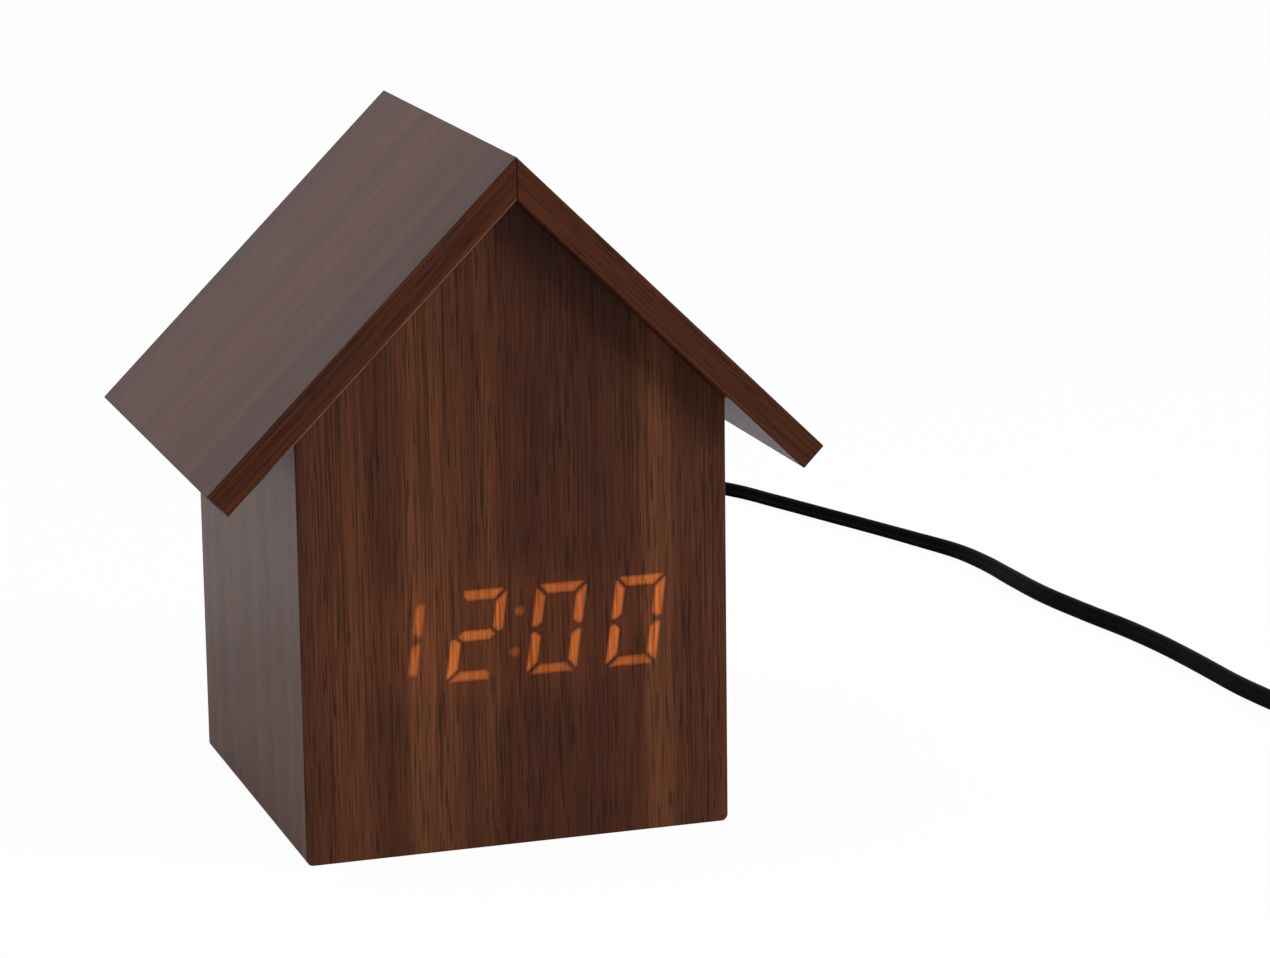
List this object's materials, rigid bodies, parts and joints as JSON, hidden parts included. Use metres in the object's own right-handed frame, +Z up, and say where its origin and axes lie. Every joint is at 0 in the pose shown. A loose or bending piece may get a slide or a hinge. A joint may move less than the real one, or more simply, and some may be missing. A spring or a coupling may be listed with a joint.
{
  "type": "digital alarm clock",
  "caption": "House-shaped table alarm clock in dark walnut veneer, whose amber digits shine through the plain front, with a rear control plate, battery bay and flat power lead.",
  "frame": {"origin": "on the table, midway between the side walls and between the front and rear walls", "axes": "+X to the right as seen from the front, +Y to the rear, +Z up"},
  "size_m": [0.3535, 0.3731, 0.1589],
  "materials": {
    "walnut_veneer": "satin",
    "walnut_board": "matte",
    "black_plastic": "matte",
    "key_plastic": "satin",
    "light_spreader": "satin",
    "light_chip": "gloss",
    "circuit_board": "satin",
    "chip_plastic": "matte",
    "steel": "satin",
    "nickel": "polished",
    "cell_sleeve": "satin",
    "capacitor_sleeve": "gloss",
    "socket_nylon": "matte",
    "ribbon_pvc": "matte",
    "lead_pvc": "satin",
    "tie_fabric": "matte"
  },
  "bodies": {
    "case": {"roof_left": "walnut_veneer", "roof_right": "walnut_veneer", "wall_left": "walnut_veneer", "wall_right": "walnut_veneer", "floor_board": "walnut_board", "front_board": "walnut_board", "front_veneer": "walnut_veneer", "rear_board": "walnut_veneer", "display_mask": "black_plastic", "segment_spreaders": "light_spreader", "segment_chips": "light_chip", "display_pcb": "circuit_board", "display_driver": "chip_plastic", "display_screws": "steel", "control_plate": "black_plastic", "plate_screws": "steel", "main_pcb": "circuit_board", "pcb_screws": "steel", "button_switches": "steel", "alarm_switch": "steel", "battery_tray": "black_plastic", "battery_cells": "cell_sleeve", "battery_contacts": "nickel", "microcontroller": "chip_plastic", "crystal": "nickel", "capacitors": "capacitor_sleeve", "buzzer": "black_plastic", "ribbon_sockets": "socket_nylon", "ribbon_cable": "ribbon_pvc", "power_jack": "black_plastic", "jack_pin": "nickel", "plug_barrel": "nickel", "plug_grip": "lead_pvc", "power_cord": "lead_pvc", "power_cord_coil": "lead_pvc", "coil_ties": "tie_fabric", "usb_grip": "lead_pvc", "usb_shell": "nickel", "usb_tongue": "socket_nylon"},
    "set_key": {"set_button": "key_plastic", "set_plunger": "key_plastic"},
    "up_key": {"up_button": "key_plastic", "up_plunger": "key_plastic"},
    "down_key": {"down_button": "key_plastic", "down_plunger": "key_plastic"},
    "alarm_slider": {"alarm_knob": "key_plastic"},
    "battery_lid": {"battery_door": "black_plastic"}
  },
  "joints": [
    {"name": "set_press", "type": "slide", "parent": "case", "child": "set_key", "axis": [0, -1, 0], "range_m": [0, 0.0006], "stiffness_N_per_m": 2500},
    {"name": "up_press", "type": "slide", "parent": "case", "child": "up_key", "axis": [0, -1, 0], "range_m": [0, 0.0006], "stiffness_N_per_m": 2500},
    {"name": "down_press", "type": "slide", "parent": "case", "child": "down_key", "axis": [0, -1, 0], "range_m": [0, 0.0006], "stiffness_N_per_m": 2500},
    {"name": "alarm_slide", "type": "slide", "parent": "case", "child": "alarm_slider", "axis": [1, 0, 0], "range_m": [0, 0.003]},
    {"name": "battery_door_hinge", "type": "hinge", "parent": "case", "child": "battery_lid", "pos_m": [-0.03075, 0.0488, 0.03415], "axis": [0, 0, 1], "range_deg": [0, 90]}
  ]
}
